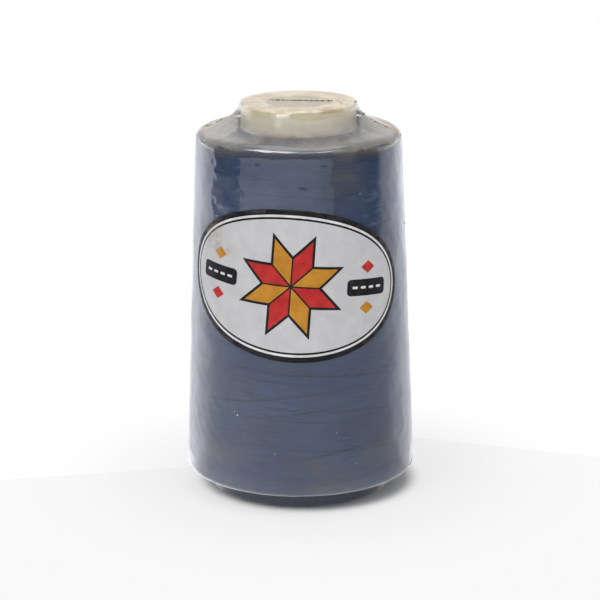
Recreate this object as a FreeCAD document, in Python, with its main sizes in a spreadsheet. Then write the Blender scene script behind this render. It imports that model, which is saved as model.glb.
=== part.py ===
"""Shrink-wrapped cone of sewing thread.

A moulded plastic former carries a cross-wound package of thread. A bag of clear shrink film,
welded from a front and a back panel, holds package and nose, and an oval label is stuck on it.

Frame: +Z up along the cone's axis, origin on the axis in the plane the foot stands on,
label towards -Y. Lengths are millimetres.
"""
import FreeCAD, Part
import math
import os

import Sketcher
from FreeCAD import Placement, Rotation, Vector

DIMENSIONS = [
    # the former
    ("former_height", 124.7),
    ("cone_top_radius", 17.9),
    ("cone_taper", 0.0758),          # tangent of the 4 deg 20 min half-angle
    ("wall", 1.5),
    ("nose_base_radius", 18.25),
    ("nose_top_radius", 18.05),
    ("nose_base_height", 116.4),
    ("nose_edge_round", 0.8),
    ("flange", 1.6),
    ("hole_radius", 10.2),
    ("hole_edge_round", 0.5),
    ("collar_wall", 1.3),
    ("collar_length", 12.0),
    ("rib_count", 6),
    ("rib_thickness", 1.2),
    ("rib_depth", 7.0),
    ("notch_width", 1.4),
    ("notch_depth", 2.1),
    ("foot_round", 0.3),
    # the wound thread
    ("package_base", 6.0),
    ("package_rim", 115.0),
    ("package_bottom_radius", 36.6),
    ("package_top_radius", 32.2),
    ("package_bottom_round", 2.6),
    ("package_top_round", 1.2),
    ("tail_low", 0.5),
    ("tail_high", 5.4),
    ("tail_radius", 27.8),
    ("tail_round", 0.5),
    ("end_radius", 0.2),
    ("end_turn_radius", 27.1),
    ("end_turn_angle", 300.0),
    ("end_lead_radius", 9.0),
    ("end_lead_angle", 38.0),
    # the film
    ("film", 0.2),
    ("hem", 0.6),
    ("skirt_radius", 28.0),
    ("skirt_top", 4.5),
    ("skirt_reach", 31.0),
    ("tent_radius", 21.2),
    ("tent_height", 119.9),
    ("throat_radius", 19.2),
    ("throat_height", 122.2),
    ("seam_proud", 0.35),
    ("seam_width", 1.0),
    ("seam_turn", 7.0),
    # the label
    ("label_width", 77.6),
    ("label_height", 47.6),
    ("label_thickness", 0.2),
    ("label_centre", 73.6),
    ("label_turn", 4.5),
    ("label_tilt", 4.6),
    ("label_margin", 6.0),
]

ALIASES = {word for word, value in DIMENSIONS}
LABEL_POINTS = 16                    # stations of the label's closed outline curve
LABEL_STRETCHES = 8                  # edges that the curve is cut into, so its faces stay simple

doc = FreeCAD.newDocument("thread_cone")
sheet = doc.addObject("Spreadsheet::Sheet", "Sizes")
for line, (word, value) in enumerate(DIMENSIONS, start=1):
    sheet.set("A%d" % line, word)
    sheet.set("B%d" % line, str(value))
    sheet.setAlias("B%d" % line, word)
doc.recompute()


def size(word):
    """The sheet's value under this alias."""
    return float(sheet.get(word))


def formula(text):
    """An expression on the sheet: names that are aliases get the sheet's prefix."""
    words = []
    for word in text.split():
        words.append("Sizes." + word if word in ALIASES else word)
    return " ".join(words)


def worth(holder, text):
    """The value of an expression on the sheet, worked out by any object of the document."""
    return float(holder.evalExpression(formula(text)))


def origin_plane(body, role):
    """The body's own origin plane with this role, such as XZ_Plane."""
    for feature in body.Origin.OriginFeatures:
        if feature.Role == role:
            return feature
    raise ValueError(role)


def new_body(name):
    """An empty body whose Label names its file."""
    body = doc.addObject("PartDesign::Body", name)
    body.Label = name
    return body


def new_sketch(body, name, role):
    """An empty sketch on one of the body's own origin planes."""
    sketch = body.newObject("Sketcher::SketchObject", name)
    sketch.AttachmentSupport = [(origin_plane(body, role), "")]
    sketch.MapMode = "FlatFace"
    return sketch


def bind(sketch, kind, curve, end, text):
    """Hold one end of a curve at a distance from the origin, bound to the sheet."""
    start = worth(sketch, text)
    index = sketch.addConstraint(Sketcher.Constraint(kind, curve, end, start))
    sketch.setExpression("Constraints[%d]" % index, formula(text))


def polygon(sketch, corners):
    """A closed outline through corners, each a pair of expressions, with every corner bound."""
    spots = []
    for across, up in corners:
        spots.append(Vector(worth(sketch, across), worth(sketch, up), 0))
    count = len(spots)
    for i in range(count):
        sketch.addGeometry(Part.LineSegment(spots[i], spots[(i + 1) % count]), False)
    for i in range(count):
        sketch.addConstraint(Sketcher.Constraint("Coincident", i, 2, (i + 1) % count, 1))
    for i, (across, up) in enumerate(corners):
        bind(sketch, "DistanceX", i, 1, across)
        bind(sketch, "DistanceY", i, 1, up)


def revolved(body, name, corners):
    """The outline, drawn as radius and height, turned once round the axis."""
    sketch = new_sketch(body, name + "_outline", "XZ_Plane")
    polygon(sketch, corners)
    turned = body.newObject("PartDesign::Revolution", name + "_turned")
    turned.Profile = sketch
    turned.ReferenceAxis = (sketch, ["V_Axis"])
    turned.Angle = 360.0
    sketch.Visibility = False
    doc.recompute()
    return turned


def ring_edge(feature, radius, height):
    """The name of the feature's circular edge at this radius and height."""
    for number, edge in enumerate(feature.Shape.Edges, start=1):
        curve = edge.Curve
        if not isinstance(curve, Part.Circle):
            continue
        if abs(curve.Radius - radius) < 0.02 and abs(curve.Center.z - height) < 0.02:
            return "Edge%d" % number
    raise ValueError("no ring of radius %.2f at height %.2f" % (radius, height))


def rounded(body, name, base, rings, radius_text):
    """A fillet along rings of the base feature, each a pair of expressions."""
    edges = []
    for across, up in rings:
        edges.append(ring_edge(base, worth(base, across), worth(base, up)))
    fillet = body.newObject("PartDesign::Fillet", name)
    fillet.Base = (base, edges)
    fillet.setExpression("Radius", formula(radius_text))
    doc.recompute()
    return fillet


def cone_radius(height_text):
    """The former's outer radius at a height below the nose."""
    return "cone_top_radius + ( nose_base_height - ( %s ) ) * cone_taper" % height_text


def make_former():
    """One moulding: tapered tube, nose flange with its hole and inner collar, ribs, foot notch."""
    body = new_body("cone_former")
    under_flange = "former_height - flange"
    collar_end = "former_height - collar_length"
    shell = revolved(body, "former", [
        (cone_radius("0"), "0"),
        ("cone_top_radius", "nose_base_height"),
        ("nose_base_radius", "nose_base_height"),
        ("nose_top_radius", "former_height"),
        ("hole_radius", "former_height"),
        ("hole_radius", collar_end),
        ("hole_radius + collar_wall", collar_end),
        ("hole_radius + collar_wall", under_flange),
        ("nose_top_radius - wall", under_flange),
        ("cone_top_radius - wall", "nose_base_height"),
        (cone_radius("0") + " - wall", "0"),
    ])
    nose = rounded(body, "nose_round", shell, [("nose_top_radius", "former_height")],
                   "nose_edge_round")
    mouth = rounded(body, "hole_round", nose, [("hole_radius", "former_height")],
                    "hole_edge_round")
    foot = rounded(body, "foot_edge", mouth, [(cone_radius("0"), "0")], "foot_round")

    rib_sketch = new_sketch(body, "rib_outline", "XZ_Plane")
    inside = "hole_radius + collar_wall / 2"
    outside = "cone_top_radius - wall / 2"
    polygon(rib_sketch, [
        (inside, under_flange + " - rib_depth"),
        (outside, under_flange + " - rib_depth"),
        (outside, "former_height - flange / 2"),
        (inside, "former_height - flange / 2"),
    ])
    rib = body.newObject("PartDesign::Pad", "rib")
    rib.Profile = rib_sketch
    rib.setExpression("Length", formula("rib_thickness"))
    rib.Midplane = True
    doc.recompute()
    ribs = body.newObject("PartDesign::PolarPattern", "ribs")
    ribs.Originals = [rib]
    ribs.Axis = (rib_sketch, ["V_Axis"])
    ribs.Angle = 360.0
    ribs.setExpression("Occurrences", formula("rib_count"))
    body.Tip = ribs
    doc.recompute()

    notch_sketch = new_sketch(body, "notch_outline", "XY_Plane")
    polygon(notch_sketch, [
        ("notch_width / -2", cone_radius("0") + " - 2 * wall"),
        ("notch_width / 2", cone_radius("0") + " - 2 * wall"),
        ("notch_width / 2", cone_radius("0") + " + wall"),
        ("notch_width / -2", cone_radius("0") + " + wall"),
    ])
    whole = ribs.Shape.Volume
    notch = body.newObject("PartDesign::Pocket", "thread_notch")
    notch.Profile = notch_sketch
    notch.setExpression("Length", formula("notch_depth"))
    notch.Reversed = True
    body.Tip = notch
    doc.recompute()
    if not notch.Shape.Volume < whole - 1:
        raise RuntimeError("the thread notch cuts nothing")
    if foot.Shape.Volume >= whole:
        raise RuntimeError("the ribs add nothing")
    return body


def make_package():
    """The cross-wound mass of thread, bored to the former's taper."""
    body = new_body("thread_package")
    mass = revolved(body, "package", [
        (cone_radius("package_base"), "package_base"),
        ("package_bottom_radius", "package_base"),
        ("package_top_radius", "package_rim"),
        ("cone_top_radius", "nose_base_height"),
    ])
    bottom = rounded(body, "package_bottom_edge", mass,
                     [("package_bottom_radius", "package_base")], "package_bottom_round")
    rounded(body, "package_top_edge", bottom,
            [("package_top_radius", "package_rim")], "package_top_round")
    return body


def make_tail():
    """The starting end of the thread: a bunch of turns round the foot, caught in its notch."""
    body = new_body("transfer_tail")
    bunch = revolved(body, "tail", [
        (cone_radius("tail_low"), "tail_low"),
        ("tail_radius", "tail_low"),
        ("tail_radius", "tail_high"),
        (cone_radius("tail_high"), "tail_high"),
    ])
    rounded(body, "tail_edges", bunch,
            [("tail_radius", "tail_low"), ("tail_radius", "tail_high")], "tail_round")
    return body


def make_end():
    """The finishing end of the thread: most of a turn round the foot under the package."""
    body = new_body("thread_end")
    height = "package_base - end_radius"
    section = new_sketch(body, "end_section", "XZ_Plane")
    centre = Vector(size("end_turn_radius"), size("package_base") - size("end_radius"), 0)
    section.addGeometry(Part.Circle(centre, Vector(0, 0, 1), size("end_radius")), False)
    bind(section, "DistanceX", 0, 3, "end_turn_radius")
    bind(section, "DistanceY", 0, 3, height)
    index = section.addConstraint(Sketcher.Constraint("Radius", 0, size("end_radius")))
    section.setExpression("Constraints[%d]" % index, formula("end_radius"))

    path = new_sketch(body, "end_path", "XY_Plane")
    path.setExpression("AttachmentOffset.Base.z", formula(height))
    turn = size("end_turn_radius")
    lead = size("end_lead_radius")
    stop = math.radians(size("end_turn_angle"))
    sweep = math.radians(size("end_lead_angle"))
    up = Vector(0, 0, 1)
    path.addGeometry(Part.ArcOfCircle(Part.Circle(Vector(0, 0, 0), up, turn), 0, stop), False)
    # the lead bends the other way, so it parts from the turn outwards
    joint = Vector(math.cos(stop), math.sin(stop), 0)
    hub = joint * (turn + lead)
    start = stop + math.pi - sweep
    path.addGeometry(Part.ArcOfCircle(Part.Circle(hub, up, lead), start, stop + math.pi), False)
    pipe = body.newObject("PartDesign::AdditivePipe", "end_pipe")
    pipe.Profile = section
    pipe.Spine = (path, ["Edge1", "Edge2"])
    body.Tip = pipe
    doc.recompute()
    return body


def mitres(holder, corners):
    """How far each corner moves out and up when the outline grows by 1 mm along its whole length.

    The outline runs upwards with its outside on the right; its two ends keep to the radius and
    to the height, so that the ends of a grown outline stay in their planes.
    """
    spots = []
    for across, up in corners:
        spots.append(Vector(worth(holder, across), worth(holder, up), 0))
    normals = []
    for here, after in zip(spots, spots[1:]):
        ahead = (after - here).normalize()
        normals.append(Vector(ahead.y, -ahead.x, 0))
    moves = [normals[0]]
    for before, after in zip(normals, normals[1:]):
        moves.append((before + after) / (1 + before.dot(after)))
    moves.append(normals[-1])
    return moves


def envelope(name, gap, floor):
    """The bag's shape grown by gap: skirt round the foot, package side, tent and nose top."""
    body = new_body(name)
    corners = {
        "hem": ("skirt_radius", floor),
        "skirt": ("skirt_radius", "skirt_top"),
        "reach": ("skirt_reach", "package_base"),
        "bottom": ("package_bottom_radius", "package_base"),
        "rim": ("package_top_radius", "package_rim"),
        "tent": ("tent_radius", "tent_height"),
        "throat": ("throat_radius", "throat_height"),
        "nose": ("nose_top_radius", "former_height"),
        "crown": ("0", "former_height"),
    }
    moves = mitres(sheet, list(corners.values()))
    grown = {}
    for (corner, (across, up)), move in zip(corners.items(), moves):
        grown[corner] = ("%s + %.6f * ( %s )" % (across, move.x, gap),
                         "%s + %.6f * ( %s )" % (up, move.y, gap))
    side = revolved(body, name, [("0", floor)] + list(grown.values()))
    bottom = rounded(body, name + "_bottom", side, [grown["bottom"]],
                     "package_bottom_round + ( %s )" % gap)
    rim = rounded(body, name + "_rim", bottom, [grown["rim"]],
                  "package_top_round + ( %s )" % gap)
    rounded(body, name + "_nose", rim, [grown["nose"]], "nose_edge_round + ( %s )" % gap)
    return body


def block(name, width, back, front):
    """A tall block about the axis, turned into the seam's plane."""
    box = doc.addObject("Part::Box", name)
    box.setExpression("Length", formula(width))
    box.setExpression("Width", formula("( %s ) - ( %s )" % (back, front)))
    box.setExpression("Height", formula("former_height + 20"))
    corner = Vector(worth(box, width) / -2, worth(box, front), -5)
    spin = Rotation(Vector(0, 0, 1), -size("seam_turn"))
    box.Placement = Placement(spin.multVec(corner), spin)
    return box


def combine(kind, name, first, second):
    """A boolean of two objects, under its own name."""
    result = doc.addObject(kind, name)
    result.Base = first
    result.Tool = second
    result.Label = name
    return result


def common(name, first, second):
    """What two objects share, under its own name."""
    result = doc.addObject("Part::MultiCommon", name)
    result.Shapes = [first, second]
    result.Label = name
    return result


def make_film():
    """Front and back panels of the bag and the weld that joins them."""
    inner = envelope("bag_inside", "0", "-5")
    outer = envelope("bag_outside", "film", "hem")
    proud = envelope("weld_outside", "film + seam_proud", "hem")
    shell = combine("Part::Cut", "bag_shell", outer, inner)
    front_half = block("front_half", "200", "0", "-100")
    back_half = block("back_half", "200", "100", "0")
    slab = block("weld_slab", "200", "seam_width / 2", "seam_width / -2")
    doc.recompute()
    front = common("film_front", shell, front_half)
    back = common("film_back", shell, back_half)
    ridge = combine("Part::Cut", "weld_ridge", proud, outer)
    seam = common("film_seam", ridge, slab)
    doc.recompute()
    return [front, back, seam]


def on_side(height, gap):
    """The radius, as an expression, at a height on the package's side grown by gap."""
    slope = "( package_bottom_radius - package_top_radius ) / ( package_rim - package_base )"
    fall = "( %s - package_base ) * %s" % (height, slope)
    return "package_bottom_radius - %s + ( %s ) * sqrt( 1 + ( %s ) ^ 2 )" % (fall, gap, slope)


def label_outline():
    """The oval's outline on the conical side, seen along the label's own facing direction."""
    half_width = size("label_width") / 2
    half_height = size("label_height") / 2
    tilt = math.radians(size("label_tilt"))
    middle = worth(sheet, on_side("label_centre", "film"))
    points = []
    for i in range(LABEL_POINTS):
        angle = 2 * math.pi * i / LABEL_POINTS
        along = half_width * math.cos(angle)
        above = half_height * math.sin(angle)
        around = along * math.cos(tilt) + above * math.sin(tilt)
        height = size("label_centre") + above * math.cos(tilt) - along * math.sin(tilt)
        radius = worth(sheet, on_side("%.6f" % height, "film"))
        points.append(Vector(radius * math.sin(around / middle), 0, height))
    return points


def stretches(curve, count):
    """Edges of a closed curve, cut at equal steps of its parameter."""
    start = curve.FirstParameter
    step = (curve.LastParameter - start) / count
    edges = []
    for i in range(count):
        stretch = curve.copy()
        stretch.segment(start + i * step, start + (i + 1) * step)
        edges.append(stretch.toShape())
    return edges


def make_label():
    """A thin oval sticker bent round the film's conical side."""
    low = "label_centre - label_height / 2 - label_margin"
    high = "label_centre + label_height / 2 + label_margin"
    cones = []
    for name, gap in (("label_back", "film"), ("label_face", "film + label_thickness")):
        cone = doc.addObject("Part::Cone", name)
        for edge, height in (("Radius1", low), ("Radius2", high)):
            cone.setExpression(edge, formula(on_side("( %s )" % height, gap)))
        cone.setExpression("Height", formula("( %s ) - ( %s )" % (high, low)))
        cone.setExpression("Placement.Base.z", formula(low))
        cones.append(cone)
    sleeve = combine("Part::Cut", "label_sleeve", cones[1], cones[0])

    curve = Part.BSplineCurve()
    curve.interpolate(Points=label_outline(), PeriodicFlag=True)
    face = Part.Face(Part.Wire(stretches(curve, LABEL_STRETCHES)))
    prism = face.extrude(Vector(0, -2 * size("package_bottom_radius"), 0))
    blank = doc.addObject("Part::Feature", "label_blank")
    blank.Shape = prism
    blank.Placement = Placement(Vector(0, 0, 0), Rotation(Vector(0, 0, 1), -size("label_turn")))
    label = common("label", sleeve, blank)
    doc.recompute()
    return label


def check(pieces):
    """Stop if any object failed or any piece isn't one valid solid."""
    for item in doc.Objects:
        if "Invalid" in item.State or "Error" in item.State:
            raise RuntimeError("%s: %s" % (item.Name, item.State))
    for piece in pieces:
        shape = piece.Shape
        if shape.isNull() or not shape.isValid():
            raise RuntimeError("%s has no valid shape" % piece.Label)
        print("%-16s solids %d  volume %9.1f mm3  z %.2f to %.2f" % (
            piece.Label, len(shape.Solids), shape.Volume,
            shape.BoundBox.ZMin, shape.BoundBox.ZMax))


pieces = [make_former(), make_package(), make_tail(), make_end()]
pieces += make_film()
pieces.append(make_label())
doc.recompute()
check(pieces)
os.makedirs("parts", exist_ok=True)
for piece in pieces:
    piece.Shape.exportStep("parts/%s.step" % piece.Label)
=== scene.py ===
import math

import bmesh
import bpy
import numpy as np
from mathutils import Matrix, Vector


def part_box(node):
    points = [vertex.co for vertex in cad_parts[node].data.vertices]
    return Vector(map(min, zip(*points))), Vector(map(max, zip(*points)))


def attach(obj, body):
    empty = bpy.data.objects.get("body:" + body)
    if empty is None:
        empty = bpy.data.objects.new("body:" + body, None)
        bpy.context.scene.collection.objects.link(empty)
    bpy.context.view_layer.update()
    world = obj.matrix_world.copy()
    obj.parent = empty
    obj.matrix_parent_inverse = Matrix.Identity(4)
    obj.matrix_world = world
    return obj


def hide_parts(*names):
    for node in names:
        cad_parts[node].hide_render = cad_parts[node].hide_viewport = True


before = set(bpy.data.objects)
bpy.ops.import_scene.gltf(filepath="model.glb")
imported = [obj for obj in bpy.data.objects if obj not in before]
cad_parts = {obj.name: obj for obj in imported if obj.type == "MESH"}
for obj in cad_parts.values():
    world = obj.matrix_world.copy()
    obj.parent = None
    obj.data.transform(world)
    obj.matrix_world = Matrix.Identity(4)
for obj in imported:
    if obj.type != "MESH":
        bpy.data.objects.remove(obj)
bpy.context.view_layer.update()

MM = 0.001
WHITE = (1, 1, 1)

# ---- places, in millimetres
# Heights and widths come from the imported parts; the rest are the cone's own proportions.


def span(node):
    """Lowest height, highest height and largest radius of a CAD node."""
    low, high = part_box(node)
    return low[2] / MM, high[2] / MM, (high[0] - low[0]) / 2 / MM


PACKAGE_BASE, NOSE_BASE, BASE_RADIUS = span("thread_package")
FLOOR, FORMER_TOP = span("cone_former")[:2]
HEM = span("film_front")[0]
TAIL_HIGH, TAIL_RADIUS = span("transfer_tail")[1:]
END_LOW, END_HIGH, END_RADIUS = span("thread_end")
LABEL_LOW, LABEL_HIGH = span("label")[:2]

RIM_HEIGHT = NOSE_BASE - 1.4          # the package's top edge
RIM_RADIUS = 32.2
CONE_TOP_RADIUS = 17.9                # the former under the nose
CONE_TAPER = 0.0758
NOSE_RADIUS = 18.05
FILM = 0.2                            # the film's thickness in the CAD model
FILM_GAP = 0.15                       # how far the film stands off what it covers
SEAM_TURN = math.radians(7.0)         # the weld's plane, its right end towards -Y
TENT = ((21.2, 119.9), (19.2, 122.2))  # where the film bends between rim and nose

LABEL_SIZE = (77.6, 47.6)
LABEL_CENTRE = (LABEL_LOW + LABEL_HIGH) / 2
LABEL_TURN = math.radians(-4.5)
LABEL_TILT = math.radians(4.6)

AROUND = 480                          # steps round the film
STEP = 0.5                            # spacing of the rows along the film


def side_radius(height):
    """The package's outer radius at a height on its tapered side."""
    share = (height - PACKAGE_BASE) / (RIM_HEIGHT - PACKAGE_BASE)
    return BASE_RADIUS + (RIM_RADIUS - BASE_RADIUS) * share


def former_radius(height):
    """The former's outer radius under the nose."""
    return CONE_TOP_RADIUS + (NOSE_BASE - height) * CONE_TAPER


# ---- small tools


def ripple(azimuth, along, seed, count, turns, pitch):
    """Smooth seamless noise of about unit size.

    It has up to turns waves round and waves of pitch mm along; 0 leaves a direction out.
    """
    rng = np.random.default_rng(seed)
    total = 0.0
    for _ in range(count):
        lobes = rng.integers(-turns, turns + 1)
        rate = rng.uniform(-1, 1) * 2 * math.pi / pitch
        total += np.cos(lobes * azimuth + rate * along + rng.uniform(0, 2 * math.pi))
    return total / math.sqrt(count / 2)


def bell(x, middle, width):
    return np.exp(-(((x - middle) / width) ** 2))


def smooth_step(x, low, high):
    t = np.clip((x - low) / (high - low), 0, 1)
    return t * t * (3 - 2 * t)


def between(x, start, full, fading, stop):
    """0 up to start, 1 from full to fading, 0 again from stop."""
    return smooth_step(x, start, full) * (1 - smooth_step(x, fading, stop))


def turned_from(azimuth, middle):
    """Signed angle from middle, wrapped to half a turn each way."""
    return (azimuth - middle + math.pi) % (2 * math.pi) - math.pi


def bell_round(azimuth, middle, width):
    """1 at one azimuth, falling to 0 beside it."""
    return bell(turned_from(azimuth, middle), 0, width)


def rounded_path(corners, step):
    """Evenly spaced points along straight runs joined by arcs, with outward normals.

    corners are (radius, height, round); the path is walked with the outside on its right.
    """
    points = []
    for i, (r, z, bend) in enumerate(corners):
        here = Vector((r, z))
        if bend == 0:
            points.append(here)
            continue
        back = (Vector(corners[i - 1][:2]) - here).normalized()
        ahead = (Vector(corners[i + 1][:2]) - here).normalized()
        half = back.angle(ahead) / 2
        reach = bend / math.tan(half)
        hub = here + (back + ahead).normalized() * (bend / math.sin(half))
        start = here + back * reach - hub
        stop = here + ahead * reach - hub
        sweep = start.angle_signed(stop)
        for k in range(9):
            turn = Matrix.Rotation(-sweep * k / 8, 2)
            points.append(hub + turn @ start)
    xs = np.array([p.x for p in points])
    zs = np.array([p.y for p in points])
    runs = np.concatenate([[0], np.cumsum(np.hypot(np.diff(xs), np.diff(zs)))])
    count = int(runs[-1] / step) + 1
    along = np.linspace(0, runs[-1], count)
    r = np.interp(along, runs, xs)
    z = np.interp(along, runs, zs)
    dr = np.gradient(r, along)
    dz = np.gradient(z, along)
    size = np.hypot(dr, dz)
    return along, r, z, dz / size, -dr / size


def place(radius, azimuth, height):
    """Points at an azimuth from -Y towards +X, in metres."""
    x = radius * np.sin(azimuth)
    y = -radius * np.cos(azimuth)
    return np.stack(np.broadcast_arrays(x, y, height), axis=-1) * MM


def facing_out(azimuth):
    """Level unit vectors pointing away from the axis."""
    return np.stack([np.sin(azimuth), -np.cos(azimuth), 0 * azimuth], axis=-1)


def new_object(name, vertices, faces, material):
    mesh = bpy.data.meshes.new(name)
    mesh.from_pydata([tuple(v) for v in vertices], [], faces)
    mesh.validate()
    mesh.update()
    mesh.polygons.foreach_set("use_smooth", [True] * len(mesh.polygons))
    mesh.materials.append(material)
    thing = bpy.data.objects.new(name, mesh)
    bpy.context.scene.collection.objects.link(thing)
    return thing


def grid_faces(rows, columns, wrap):
    """Quads of a grid of vertices stored row by row; wrap joins its last column to the first."""
    faces = []
    last = columns if wrap else columns - 1
    for i in range(rows - 1):
        for j in range(last):
            k = (j + 1) % columns
            here, above = i * columns, (i + 1) * columns
            faces.append((here + j, here + k, above + k, above + j))
    return faces


def grid_object(name, points, material, wrap=False):
    """An object from points in rows and columns, three coordinates each."""
    rows, columns = points.shape[:2]
    return new_object(name, points.reshape(-1, 3), grid_faces(rows, columns, wrap), material)


def set_values(thing, name, values):
    """A named number on each vertex, for the material to read."""
    data = thing.data.attributes.new(name, "FLOAT", "POINT")
    data.data.foreach_set("value", np.asarray(values, dtype=np.float32).ravel())


def finish_piece(thing, slot, *nodes):
    """The piece rides on the one body and stands for these CAD nodes; slot is not used."""
    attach(thing, "root")
    if nodes:
        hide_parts(*nodes)
    return thing


# ---- wiring of materials


class Shade:
    """A short way to wire the nodes of a new material, or of a block that has nodes."""

    def __init__(self, name, block=None):
        self.block = block or bpy.data.materials.new(name)
        self.block.use_nodes = True
        self.tree = self.block.node_tree
        self.tree.nodes.clear()

    def node(self, kind, **settings):
        """A new node; its kind is written without the ShaderNode that they all start with."""
        made = self.tree.nodes.new("ShaderNode" + kind)
        for key, value in settings.items():
            setattr(made, key, value)
        return made

    def feed(self, socket, item):
        """Sets a socket to a number or a colour, or joins a node or one of its outputs to it."""
        if isinstance(item, (int, float)):
            socket.default_value = item
        elif isinstance(item, tuple):
            socket.default_value = (*item, 1)
        elif isinstance(item, bpy.types.Node):
            self.tree.links.new(item.outputs[0], socket)
        else:
            self.tree.links.new(item, socket)

    def fed(self, kind, **items):
        """A shader node with these inputs; an underscore in a name stands for a space."""
        made = self.node(kind)
        for key, item in items.items():
            self.feed(made.inputs[key.replace("_", " ")], item)
        return made

    def where(self):
        """Object coordinates, in metres."""
        return self.node("TexCoord").outputs["Object"]

    def noise(self, scale, detail=4.0, stretch=(1, 1, 1)):
        """Noise with features of about 1/scale metres."""
        mapping = self.node("Mapping")
        mapping.inputs["Scale"].default_value = stretch
        self.feed(mapping.inputs["Vector"], self.where())
        made = self.fed("TexNoise", Scale=scale, Detail=detail, Roughness=0.55,
                        Vector=mapping)
        return made.outputs["Fac"]

    def value(self, name):
        """The number stored on the vertices under this name."""
        made = self.node("Attribute", attribute_name=name)
        return made.outputs["Fac"]

    def math(self, operation, first, second, clamp=False):
        made = self.node("Math", operation=operation, use_clamp=clamp)
        self.feed(made.inputs[0], first)
        self.feed(made.inputs[1], second)
        return made.outputs[0]

    def ramp(self, factor, low, high, start=0.0, stop=1.0):
        """factor from low..high mapped to start..stop, held at both ends."""
        made = self.fed("MapRange", Value=factor, From_Min=low, From_Max=high,
                        To_Min=start, To_Max=stop)
        made.interpolation_type = "SMOOTHSTEP"
        return made.outputs["Result"]

    def mix_color(self, factor, first, second):
        made = self.node("Mix", data_type="RGBA")
        self.feed(made.inputs["Factor"], factor)
        self.feed(made.inputs[6], first)
        self.feed(made.inputs[7], second)
        return made.outputs[2]

    def mix_shader(self, factor, first, second):
        made = self.node("MixShader")
        for socket, item in zip(made.inputs, (factor, first, second)):
            self.feed(socket, item)
        return made.outputs[0]

    def bump(self, height, distance, strength=1.0, normal=None):
        made = self.fed("Bump", Strength=strength, Distance=distance, Height=height)
        if normal is not None:
            self.feed(made.inputs["Normal"], normal)
        return made.outputs[0]

    def principled(self, color, roughness, normal, specular=0.5, **more):
        return self.fed("BsdfPrincipled", Base_Color=color, Roughness=roughness,
                        Specular_IOR_Level=specular, Normal=normal, **more)

    def done(self, shader, output="OutputMaterial"):
        self.feed(self.node(output).inputs["Surface"], shader)
        return self.block


# ---- camera and light


def set_camera():
    """A long lens above the cone, looking down 15 degrees at its middle.

    Its angles, distance and lens are a least-squares fit to the photographed outline.
    """
    distance = 778.4 * MM
    pitch = math.radians(15.28)
    roll = math.radians(-0.35)
    aim = Vector((0.13, 0.0, 60.12)) * MM
    ahead = Vector((0, math.cos(pitch), -math.sin(pitch)))
    right = Vector((1, 0, 0))
    up = right.cross(ahead)
    turned_right = right * math.cos(roll) + up * math.sin(roll)
    turned_up = up * math.cos(roll) - right * math.sin(roll)
    camera = bpy.data.objects.new("camera", bpy.data.cameras.new("camera"))
    basis = Matrix((turned_right, turned_up, -ahead)).transposed()
    camera.matrix_world = Matrix.Translation(aim - ahead * distance) @ basis.to_4x4()
    camera.data.sensor_width = 36
    camera.data.lens = 146.05
    camera.data.clip_end = 20
    bpy.context.scene.collection.objects.link(camera)
    bpy.context.scene.camera = camera


def set_world():
    """White where it is seen or mirrored, a plain soft light elsewhere."""
    world = bpy.data.worlds.new("studio")
    bpy.context.scene.world = world
    s = Shade("studio", world)
    ray = s.node("LightPath").outputs
    seen = s.math("MAXIMUM", ray["Is Camera Ray"], ray["Is Glossy Ray"])
    seen = s.math("MAXIMUM", seen, ray["Is Transmission Ray"])
    light = s.fed("Background", Color=WHITE, Strength=0.36)
    white = s.fed("Background", Color=WHITE, Strength=1.0)
    s.done(s.mix_shader(seen, light, white), "OutputWorld")


# Name, place and size in metres, power in watts.
SOFTBOXES = (
    ("overhead", (0.0, 0.1, 1.5), (1.2, 1.2), 8.0),
    ("key", (-0.62, -0.78, 0.95), (0.7, 0.6), 5.0),
    ("fill", (0.75, -0.65, 0.90), (0.7, 0.6), 2.2),
)
LIT_POINT = Vector((0, 0, 0.07))      # where they all point, in metres


def add_softbox(name, place_m, size_m, power):
    lamp = bpy.data.lights.new(name, "AREA")
    lamp.shape = "RECTANGLE"
    lamp.size, lamp.size_y = size_m
    lamp.energy = power
    thing = bpy.data.objects.new(name, lamp)
    spot = Vector(place_m)
    turn = (LIT_POINT - spot).to_track_quat("-Z", "Y")
    thing.matrix_world = Matrix.Translation(spot) @ turn.to_matrix().to_4x4()
    bpy.context.scene.collection.objects.link(thing)


def only_mirrored(thing):
    """Seen in reflections only, the film's above all: no diffuse light, and it hides nothing."""
    thing.visible_camera = False
    thing.visible_diffuse = False
    thing.visible_shadow = False
    thing.visible_transmission = False


def glowing(name, color, strength):
    s = Shade(name)
    return s.done(s.fed("Emission", Color=color, Strength=strength))


def floor_material(name, tone):
    """Pale surface that keeps the shadow under and beside the object and is plain further off."""
    s = Shade(name)
    moved = s.node("VectorMath", operation="ADD")
    s.feed(moved.inputs[0], s.where())
    moved.inputs[1].default_value = (-0.0028, -0.003, 0)
    far = s.node("VectorMath", operation="LENGTH")
    s.feed(far.inputs[0], moved)
    near = s.ramp(far.outputs["Value"], 0.0308, 0.0375, 0.0, 0.70)
    away = s.ramp(far.outputs["Value"], 0.038, 0.095, 0.0, 0.30)
    ray = s.node("LightPath").outputs
    shown = s.math("MULTIPLY", s.math("ADD", near, away), ray["Is Camera Ray"])
    paper = s.fed("BsdfDiffuse", Color=(0.88, 0.88, 0.88))
    plain = s.fed("Emission", Color=WHITE, Strength=tone)
    return s.done(s.mix_shader(shown, paper, plain))


# What the film mirrors, by azimuth in degrees: how bright the room's pale parts are. The levels
# were set against the photograph.
ROOM_TURNS = (-180, -150, -142, -130, -106, -90, -74, -52, 0, 70, 88, 100, 116, 134, 142, 180)
ROOM_LIGHT = (0.98, 0.98, 1.32, 1.60, 1.52, 1.25, 1.0, 0.86,
              0.68, 0.62, 0.72, 0.90, 1.15, 1.15, 0.92, 0.90)
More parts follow.
